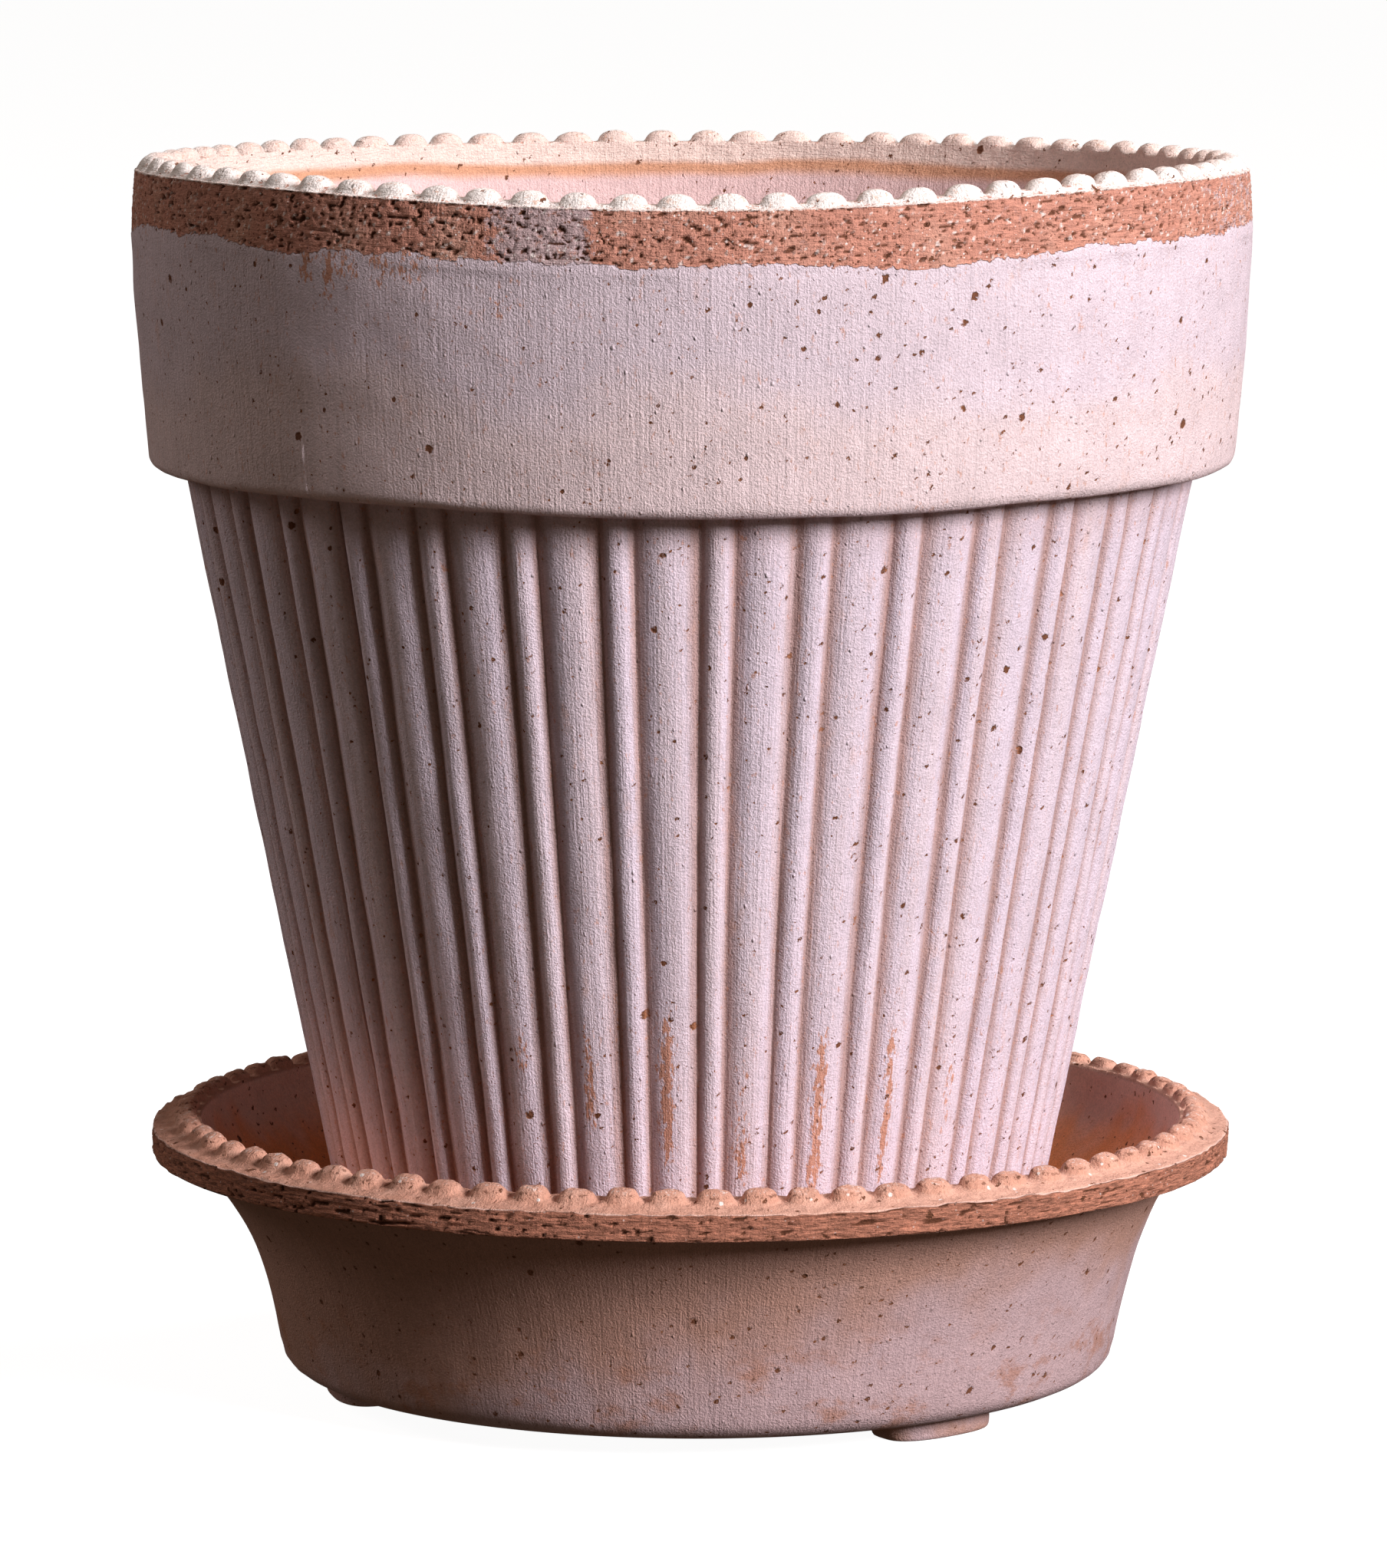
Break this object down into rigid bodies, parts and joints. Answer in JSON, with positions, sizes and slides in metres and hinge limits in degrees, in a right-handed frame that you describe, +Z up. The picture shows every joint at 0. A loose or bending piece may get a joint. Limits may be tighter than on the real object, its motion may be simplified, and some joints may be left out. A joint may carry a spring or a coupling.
{
  "type": "flower pot with saucer",
  "caption": "Tapered fluted terracotta plant pot with a thick plain collar and beaded rim, standing loose in a footed saucer with a beaded flange.",
  "frame": {"origin": "centre of the underside of the saucer's feet, on the common axis of pot and saucer", "axes": "+Z up along the axis of the pot and saucer, -Y towards the front, +X to the right"},
  "size_m": [0.181, 0.181, 0.202],
  "materials": {
    "pot_clay": "matt unglazed terracotta with a chalky pale wash, bare coarse orange clay in a band under the rim",
    "saucer_clay": "matt unglazed terracotta, stained, with whitish salt bloom",
    "foot_clay": "matt unglazed terracotta"
  },
  "bodies": {
    "saucer": {"saucer": "saucer_clay", "foot_right": "foot_clay", "foot_back": "foot_clay", "foot_left": "foot_clay"},
    "pot": {"pot": "pot_clay"}
  },
  "joints": [
    {"name": "pot_lift", "type": "slide", "parent": "saucer", "child": "pot", "axis": [0, 0, 1], "range_m": [0, 0.06]}
  ]
}
